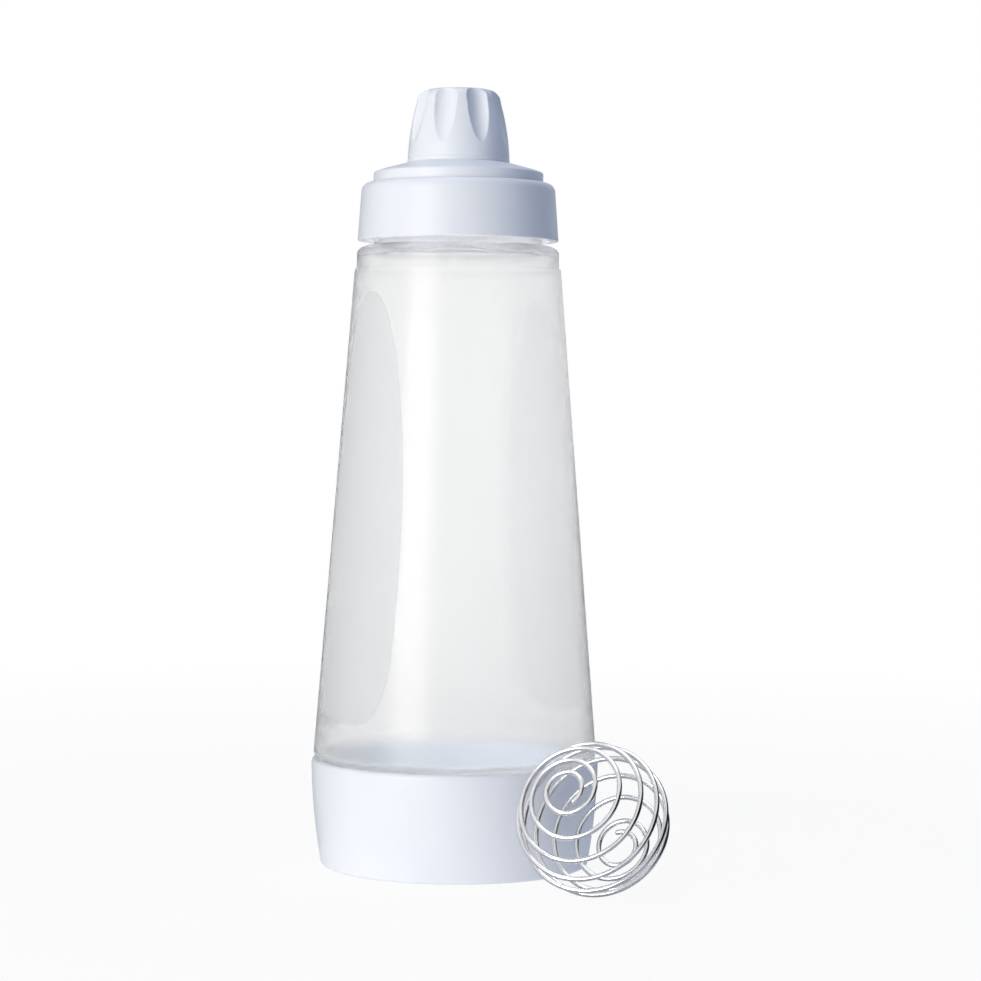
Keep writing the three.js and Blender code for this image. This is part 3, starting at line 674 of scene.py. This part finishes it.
# Collar: a plain white screw ring. Its lip clamps the spout's flange on the neck, its upper edge is well
# rounded, and a thread ridge winds round its bore.
collar_low, collar_high = span("collar")
collar_foot_radius = collar_high[0]
collar_bore = neck_radius + neck_thread_height + thread_gap
collar_draw = 1.2
collar_top_radius = collar_foot_radius - collar_draw
collar_rounding = 3.4
collar_edge = 0.5
collar_bore_edge = 0.3
lip_thickness = 2.1
lip_edge = 0.25
lip_bore = plate_radius + running_gap
lip_foot = collar_high[2] - lip_thickness
neck_ridge_offset = (neck_thread["root"] + neck_thread["tip"]) / 2 + flank_gap
outline = np.concatenate(
    [
        arc(
            (collar_bore + collar_bore_edge, collar_low[2] + collar_bore_edge),
            collar_bore_edge, 180, 270, 4,
        ),
        arc((collar_foot_radius - collar_edge, collar_low[2] + collar_edge), collar_edge, -90, 0, 5),
        straight(
            (collar_foot_radius - 0.03, collar_low[2] + 1.2),
            (collar_top_radius + 0.02, collar_high[2] - collar_rounding - 0.3), 10,
        ),
        arc(
            (collar_top_radius - collar_rounding, collar_high[2] - collar_rounding),
            collar_rounding, 0, 90, 14,
        ),
        arc((lip_bore + lip_edge, collar_high[2] - lip_edge), lip_edge, 90, 180, 4),
        straight((lip_bore, lip_foot + 0.3), (lip_bore, lip_foot)),
        straight((lip_bore + 0.4, lip_foot), (collar_bore, lip_foot)),
        straight((collar_bore, lip_foot - 0.3), (collar_bore, collar_low[2] + 0.8), 64),
    ]
)
angle = around(256)
radius, height = turned(outline, angle)
in_bore = np.isclose(radius, collar_bore) & (height < lip_foot)
collar_ridge = thread(angle, height, neck_thread_start - neck_ridge_offset, **neck_thread)
radius = radius - neck_thread_height * collar_ridge * in_bore
collar_ring = skin("collar_ring", polar(radius, height, angle), ring=True)
collar_ring.data.materials.append(white)
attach(collar_ring, "collar")
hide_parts("collar")


# Cap: a white screw cap with scooped flutes for the fingers, which open at its rounded crown and run out to a
# point on its side. Inside it has a two-start thread.
cap_low, cap_high = span("cap")
cap_foot, cap_top = cap_low[2], cap_high[2]
cap_foot_radius = cap_high[0]
cap_draw = 3.3
cap_crown_radius = cap_foot_radius - cap_draw
cap_crown_rounding = 4.6
cap_bulge = 0.7
roof_thickness = 2.1
cap_roof = cap_top - roof_thickness
cap_bore = nozzle_radius + cap_thread_height + thread_gap
flute_count = 8
flute_phase = math.radians(35)
flute_radius = 5.6
flute_foot = cap_foot + 5.2
flute_bend = cap_foot + 18.5
flute_slope = math.tan(math.radians(21.3))
flute_top_slope = math.tan(math.radians(11.5))
flute_ease = 2.5
flute_wall = 1.3
flute_edge = 0.15
cap_corner = 0.15
cap_lip = cap_foot - 0.25
groove_height = 1.4
groove_width = 0.22
groove_depth = 0.12


def flute_floor(height):
    """The least radius that a flute leaves at each height: it goes in by its slope for each millimetre up,
    and by its lesser top slope past its bend, eased by a hyperbola from one to the other."""
    past = height - flute_bend
    eased = (past + np.sqrt(past**2 + flute_ease**2)) / 2
    return cap_foot_radius - flute_slope * (height - flute_foot) + (flute_slope - flute_top_slope) * eased


def fluted(radius, height, angle):
    """Cuts the flutes: each is a slanted round bar, whose level section is an ellipse. A ray from the axis at
    an angle meets that ellipse at the smaller root of a quadratic, and the cap's radius is the smooth least
    of its own and that root."""
    share = 2 * np.pi / flute_count
    off = np.mod(angle - flute_phase + share / 2, share) - share / 2
    deep = flute_radius * math.sqrt(1 + flute_slope**2)
    centre = flute_floor(height) + deep
    a = (np.cos(off) / deep) ** 2 + (np.sin(off) / flute_radius) ** 2
    b = centre * np.cos(off) / deep**2
    inside = b**2 - a * ((centre / deep) ** 2 - 1)
    cut = np.where(inside > 0, (b - np.sqrt(np.clip(inside, 0, None))) / a, 1e3)
    mix = np.clip(0.5 + 0.5 * (cut - radius) / flute_edge, 0, 1)
    return cut + (radius - cut) * mix - flute_edge * mix * (1 - mix)


crown_foot = cap_top - cap_crown_rounding
side_t = np.unique(np.concatenate([np.linspace(0, 1, 70), np.linspace(0.03, 0.11, 25)]))
side_height = cap_lip + cap_corner + (crown_foot - cap_lip - cap_corner) * side_t
groove = groove_depth * np.exp(-(((side_height - cap_foot - groove_height) / groove_width) ** 2))
taper = (cap_crown_radius - cap_foot_radius) * side_t + 4 * cap_bulge * side_t * (1 - side_t)
side = np.stack([cap_foot_radius + taper - groove, side_height], axis=1)
crown_centre = (cap_crown_radius - cap_crown_rounding, crown_foot)
crown = arc(crown_centre, cap_crown_rounding, 4, 90, 22)
angle = around(384)
bore_foot = cap_lip + cone_slope * (cap_foot_radius - cap_bore)
bore_top = flute_foot + (cap_foot_radius - flute_wall - cap_bore) / flute_slope
inner_height_rows = np.linspace(cap_roof - 0.5, bore_top + 0.1, 12)
under = np.concatenate(
    [
        straight((hub_radius, cap_roof), (flute_floor(cap_roof) - flute_wall - 1, cap_roof), 5),
        np.stack([flute_floor(inner_height_rows) - flute_wall, inner_height_rows], axis=1),
        straight((cap_bore, bore_top - 0.3), (cap_bore, bore_foot + 0.4), 44),
        straight((cap_bore + 0.4, bore_foot), (cap_foot_radius - 0.4, cap_lip + 0.05), 3),
        arc((cap_foot_radius - cap_corner, cap_lip + cap_corner), cap_corner, -80, -15, 4),
    ]
)
radius, height = turned(under, angle)
cap_ridge_offset = (cap_thread["root"] + cap_thread["tip"]) / 2 + flank_gap
cap_ridge = thread(angle, height, cap_thread_start - cap_ridge_offset, **cap_thread)
in_bore = np.isclose(radius, cap_bore) & (height < bore_top)
radius = radius - cap_thread_height * cap_ridge * in_bore
side_radius, side_height = turned(np.concatenate([side, crown]), angle)
side_radius = fluted(side_radius, side_height, angle)
top_share = np.linspace(1, 0.08, 10)[1:, None]
top_radius = top_share * side_radius[-1]
top_height = np.full_like(top_radius, cap_top)
cap_shell = skin(
    "cap_shell",
    polar(
        np.concatenate([radius, side_radius, top_radius]),
        np.concatenate([height, side_height, top_height]),
        angle,
    ),
    ring=False,
)
cap_shell.data.materials.append(white)
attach(cap_shell, "cap")
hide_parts("cap")


# Cap liner: a soft disc under the cap's roof, whose short plug closes the tip.
low, high = span("cap_liner")
liner_radius = high[0]
plug = tip_bore - running_gap
plug_rounding = 0.5
disc_low = tip_top + seat_gap
disc_edge = 0.3
outline = np.concatenate(
    [
        straight((0.5, low[2]), (plug - 0.8, low[2]), 4),
        arc((plug - plug_rounding, low[2] + plug_rounding), plug_rounding, -90, 0, 5),
        straight((plug, disc_low - 0.2), (plug + 0.2, disc_low)),
        arc((liner_radius - disc_edge, disc_low + disc_edge), disc_edge, -90, 0, 4),
        arc((liner_radius - disc_edge, high[2] - disc_edge), disc_edge, 0, 90, 4),
        straight((liner_radius - 1, high[2]), (0.5, high[2]), 4),
    ]
)
angle = around(128)
liner = skin("liner_disc", polar(*turned(outline, angle), angle), ring=False)
liner.data.materials.append(silicone)
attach(liner, "cap_seal")
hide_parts("cap_liner")


# Whisk ball: one length of polished stainless wire wound on a sphere, from a small loop at one pole to a
# small loop at the other. It lies loose on the floor beside the bottle.
def polished_wire():
    """Bright drawn steel: a clear reflection, broken a little by fine scratches and handling."""
    material, tree, shader, place = finish_tree("polished_wire")
    smear = cloud(tree, place, 5, detail=4)
    shader.inputs["Metallic"].default_value = 1
    tree.links.new(tints(tree, smear, (0.70, 0.70, 0.71), (0.80, 0.80, 0.81)), shader.inputs["Base Color"])
    tree.links.new(between(tree, smear, 0.10, 0.20), shader.inputs["Roughness"])
    tree.links.new(raised(tree, cloud(tree, place, 0.3), 0.004), shader.inputs["Normal"])
    return material


whisk_radius = 26.2
wire_radius = 0.875
whisk_turns = 9.43
loop_turns = 0.85
pole_angle = 12.5
loop_angle = 17.5
first_angle = math.radians(-44)
axis_bearing = math.radians(205.2)
axis_elevation = math.radians(30)
whisk_stand_off = 3.6
whisk_distance = base_rim + whisk_stand_off + whisk_radius
whisk_bearing = math.radians(-91.3)
whisk_place = whisk_distance * np.array([math.cos(whisk_bearing), math.sin(whisk_bearing), 0])
wire_steps_per_turn = 72
wire_sides = 14
wire_end_rows = 7


def wire_tube(line, radius):
    """A round wire along a line of points on a sphere about the origin. At each point the section's two axes
    are the sphere's radius and the cross product of the line's direction with it. Its ends are half balls."""
    along = np.gradient(line, axis=0)
    along /= np.linalg.norm(along, axis=1, keepdims=True)
    out = line / np.linalg.norm(line, axis=1, keepdims=True)
    side = np.cross(along, out)
    side /= np.linalg.norm(side, axis=1, keepdims=True)
    lift = np.cross(side, along)
    end_turn = np.radians(np.linspace(8, 90, wire_end_rows))
    thin = np.sin(end_turn)
    back = np.cos(end_turn)
    last = len(line) - 1
    shares = np.concatenate([thin, np.ones(last - 1), thin[::-1]])
    pick = np.concatenate([np.zeros(wire_end_rows, int), np.arange(1, last), np.full(wire_end_rows, last)])
    push = np.concatenate([-back, np.zeros(last - 1), back[::-1]]) * radius
    turn = around(wire_sides)
    section = lift[pick][:, None] * np.cos(turn)[:, None] - side[pick][:, None] * np.sin(turn)[:, None]
    middle = line[pick] + along[pick] * push[:, None]
    return middle[:, None] + section * (radius * shares)[:, None, None]


def wire_angle(turn):
    """The angle from the ball's axis to its wire after a number of turns: slow round the small loop at each
    pole, steady between the loops, and eased from one to the other as a mean over a quarter of a turn."""
    turns = [0, loop_turns, whisk_turns - loop_turns, whisk_turns]
    angles = np.radians([pole_angle, loop_angle, 180 - loop_angle, 180 - pole_angle])
    shifts = np.linspace(-0.125, 0.125, 9)
    return np.interp(turn[:, None] + shifts, turns, angles).mean(axis=1)


turn = np.linspace(0, whisk_turns, round(whisk_turns * wire_steps_per_turn) + 1)
from_pole = wire_angle(turn)
round_axis = first_angle + 2 * np.pi * turn
wound = (whisk_radius - wire_radius) * polar(np.sin(from_pole), np.cos(from_pole), round_axis)
axis = np.array(
    [
        math.cos(axis_elevation) * math.cos(axis_bearing),
        math.cos(axis_elevation) * math.sin(axis_bearing),
        math.sin(axis_elevation),
    ]
)
level = np.cross([0, 0, 1], axis)
level /= np.linalg.norm(level)
turn_to_axis = np.stack([level, np.cross(axis, level), axis])
wire = wire_tube(wound @ turn_to_axis, wire_radius)
wire += whisk_place - [0, 0, wire[..., 2].min()]
whisk_wire = skin("whisk_wire", wire[::-1], ring=False, sharp=80)
whisk_wire.data.materials.append(polished_wire())
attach(whisk_wire, "whisk")
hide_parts("whisk_ball")


# Studio: a pale floor that runs on into a white background, a large soft lamp at the front left, a weaker one
# overhead and dim cool light from all round. Reflections also see a black card beside the whisk and a dark
# stretch behind the bottle on the left, and light that comes through the bottle meets a brighter room.
view_bearing = math.radians(-36.5)
toward_camera = np.array([math.sin(view_bearing), -math.cos(view_bearing), 0])
to_right = np.array([math.cos(view_bearing), math.sin(view_bearing), 0])
up = np.array([0, 0, 1])
middle = np.array([0, 0, cad_box[1][2] / 2])
lit_direction = 0.4 * up - 0.5 * to_right + 0.75 * toward_camera
open_direction = 0.8 * to_right + 0.6 * toward_camera
window_direction = 0.83 * toward_camera - 0.55 * to_right + 0.1 * up
dark_direction = -0.5 * to_right - 0.87 * toward_camera
inside_floor_boost = 3.4
inside_room_boost = 0.8
inside_crossings = 5.5
window_glare = 3.4


def facing(tree, vector, direction):
    """How far a vector goes along a direction: their dot product."""
    product = tree.nodes.new("ShaderNodeVectorMath")
    product.operation = "DOT_PRODUCT"
    product.inputs[1].default_value = direction.tolist()
    tree.links.new(vector, product.inputs[0])
    return product.outputs["Value"]


def blended(tree, share, start, end, output):
    """Sends a tree's output a blend of two shaders: start where the share is 0, and end where it is 1."""
    blend = tree.nodes.new("ShaderNodeMixShader")
    tree.links.new(share, blend.inputs["Fac"])
    tree.links.new(start, blend.inputs[1])
    tree.links.new(end, blend.inputs[2])
    tree.links.new(blend.outputs["Shader"], tree.nodes[output].inputs["Surface"])


floor_half = 40
floor_corners = floor_half * np.array([[-1, -1, 0], [1, -1, 0], [1, 1, 0], [-1, 1, 0]])
floor_mesh = bpy.data.meshes.new("floor")
floor_mesh.from_pydata(floor_corners.tolist(), [], [(0, 1, 2, 3)])
floor = bpy.data.objects.new("floor", floor_mesh)
bpy.context.scene.collection.objects.link(floor)
floor_finish, tree, shader, place = finish_tree("studio_floor")
floor_mesh.materials.append(floor_finish)
shader.inputs["Roughness"].default_value = 0.9
shader.inputs["Specular IOR Level"].default_value = 0.1
seen = tree.nodes.new("ShaderNodeLightPath").outputs
past_bottle = mapped(tree, facing(tree, place, dark_direction), (0.03, 0.06), (0, 1))
dark = calc(tree, "MULTIPLY", past_bottle, seen["Is Glossy Ray"])
tree.links.new(tints(tree, dark, (0.86, 0.86, 0.87), (0.08, 0.1, 0.14)), shader.inputs["Base Color"])
away = tree.nodes.new("ShaderNodeVectorMath")
away.operation = "LENGTH"
tree.links.new(place, away.inputs[0])
fade = mapped(tree, away.outputs["Value"], (0.2, 0.8), (0.92, 1))
# Near the object the floor glows for light bouncing off it: a painted pool of light that brightens the base
# from below.
painted_light_pool = mapped(tree, away.outputs["Value"], (0.1, 0.5), (0.7, 0))
direct = calc(tree, "MAXIMUM", seen["Is Camera Ray"], seen["Is Transmission Ray"])
shown = calc(tree, "MULTIPLY", direct, fade)
bounced = calc(tree, "MULTIPLY", painted_light_pool, seen["Is Diffuse Ray"])
inside = calc(tree, "MINIMUM", seen["Diffuse Depth"], seen["Is Transmission Ray"])
glow = tree.nodes.new("ShaderNodeEmission")
tree.links.new(tints(tree, seen["Is Diffuse Ray"], (1, 1, 1), (0.88, 0.92, 1)), glow.inputs["Color"])
tree.links.new(calc(tree, "MULTIPLY_ADD", inside, inside_floor_boost, 1), glow.inputs["Strength"])
glowing = calc(tree, "MAXIMUM", shown, bounced)
blended(tree, glowing, shader.outputs["BSDF"], glow.outputs["Emission"], "Material Output")

world = bpy.data.worlds.new("studio")
world.use_nodes = True
bpy.context.scene.world = world
tree = world.node_tree
seen = tree.nodes.new("ShaderNodeLightPath").outputs
direction = tree.nodes.new("ShaderNodeTexCoord").outputs["Generated"]
room = tree.nodes["Background"]
room.inputs["Color"].default_value = (0.46, 0.62, 1.0, 1)
fill = calc(tree, "MULTIPLY_ADD", facing(tree, direction, open_direction), 0.11, 0.25)
tree.links.new(fill, room.inputs["Strength"])
backdrop = tree.nodes.new("ShaderNodeBackground")
glare = mapped(tree, facing(tree, direction, window_direction), (0.5, 0.9), (0, window_glare))
through = calc(tree, "MULTIPLY_ADD", glare, seen["Is Transmission Ray"], 1)
inside = calc(tree, "MINIMUM", seen["Diffuse Depth"], seen["Is Transmission Ray"])
deep = calc(tree, "GREATER_THAN", seen["Transmission Depth"], inside_crossings)
deep_inside = calc(tree, "MINIMUM", inside, deep)
boosted = calc(tree, "MULTIPLY_ADD", deep_inside, inside_room_boost, through)
tree.links.new(boosted, backdrop.inputs["Strength"])
tree.links.new(tints(tree, deep_inside, (1, 1, 1), (0.8, 0.88, 1)), backdrop.inputs["Color"])
lit = mapped(tree, facing(tree, direction, lit_direction), (-0.2, 0.7), (0.8, 1))
shade = mapped(tree, facing(tree, direction, dark_direction), (0.62, 0.88), (1, 0))
mirrored = calc(tree, "MULTIPLY", calc(tree, "MULTIPLY", lit, shade), seen["Is Glossy Ray"])
direct = calc(tree, "MAXIMUM", seen["Is Camera Ray"], seen["Is Transmission Ray"])
bright = calc(tree, "MAXIMUM", direct, mirrored)
blended(tree, bright, room.outputs["Background"], backdrop.outputs["Background"], "World Output")

card_reach = 0.1
card_height = 0.12
card_steps = 40
card_turn = np.radians(np.linspace(25, 140, card_steps + 1))[:, None]
card_side = np.sin(card_turn) * to_right + np.cos(card_turn) * toward_camera
card_foot = whisk_place / 1000 + card_reach * card_side
card_top = card_foot + card_height * up
near = np.arange(card_steps)
above = near + card_steps + 1
card_mesh = bpy.data.meshes.new("black_card")
card_mesh.from_pydata(
    np.concatenate([card_foot, card_top]).tolist(),
    [],
    np.stack([near, near + 1, above + 1, above], axis=1).tolist(),
)
card_finish, tree, shader, place = finish_tree("black_card")
card_mesh.materials.append(card_finish)
shader.inputs["Base Color"].default_value = (0.01, 0.01, 0.012, 1)
shader.inputs["Roughness"].default_value = 0.9
card = bpy.data.objects.new("black_card", card_mesh)
card.visible_camera = False
card.visible_diffuse = False
card.visible_transmission = False
card.visible_shadow = False
bpy.context.scene.collection.objects.link(card)


def placed(x_axis, y_axis, z_axis, place):
    """The matrix that puts a lamp or camera at a place, turned to three axes."""
    columns = np.column_stack([x_axis, y_axis, z_axis, place])
    return mathutils.Matrix(np.vstack([columns, [0, 0, 0, 1]]).tolist())


def soft_lamp(name, right, front, above, width, tall, watts, colour):
    """A rectangular lamp at a place given to the camera's right, in front of the bottle and above the floor,
    in metres, turned to face the bottle's middle."""
    data = bpy.data.lights.new(name, "AREA")
    data.shape = "RECTANGLE"
    data.size = width
    data.size_y = tall
    data.energy = watts
    data.color = colour
    lamp = bpy.data.objects.new(name, data)
    place = right * to_right + front * toward_camera + above * up
    back = (place - middle) / np.linalg.norm(place - middle)
    side = np.cross(up, back)
    side /= np.linalg.norm(side)
    lamp.matrix_world = placed(side, np.cross(back, side), back, place)
    bpy.context.scene.collection.objects.link(lamp)


soft_lamp(
    "key", right=-0.65, front=0.83, above=0.16, width=0.55, tall=0.7, watts=10.4, colour=(1, 0.975, 0.88)
)
soft_lamp(
    "top", right=-0.05, front=-0.05, above=1.2, width=0.6, tall=0.6, watts=4, colour=(0.92, 0.96, 1)
)

photo_size = 981
sensor_width = 36
focal_pixels = 2855
eye_distance = 1.035
eye_height = 0.1672
axis_pixel = (457, 401.6)
roll = math.radians(0.38)
camera_data = bpy.data.cameras.new("camera")
camera_data.sensor_width = sensor_width
camera_data.lens = sensor_width * focal_pixels / photo_size
camera_data.clip_end = 50
camera = bpy.data.objects.new("camera", camera_data)
camera_data.shift_x = 0.5 - axis_pixel[0] / photo_size
camera_data.shift_y = axis_pixel[1] / photo_size - 0.5
camera_right = math.cos(roll) * to_right + math.sin(roll) * up
camera_up = math.cos(roll) * up - math.sin(roll) * to_right
camera_place = eye_distance * toward_camera + eye_height * up
camera.matrix_world = placed(camera_right, camera_up, toward_camera, camera_place)
bpy.context.scene.collection.objects.link(camera)
bpy.context.scene.camera = camera
bpy.context.scene.view_settings.view_transform = "Standard"
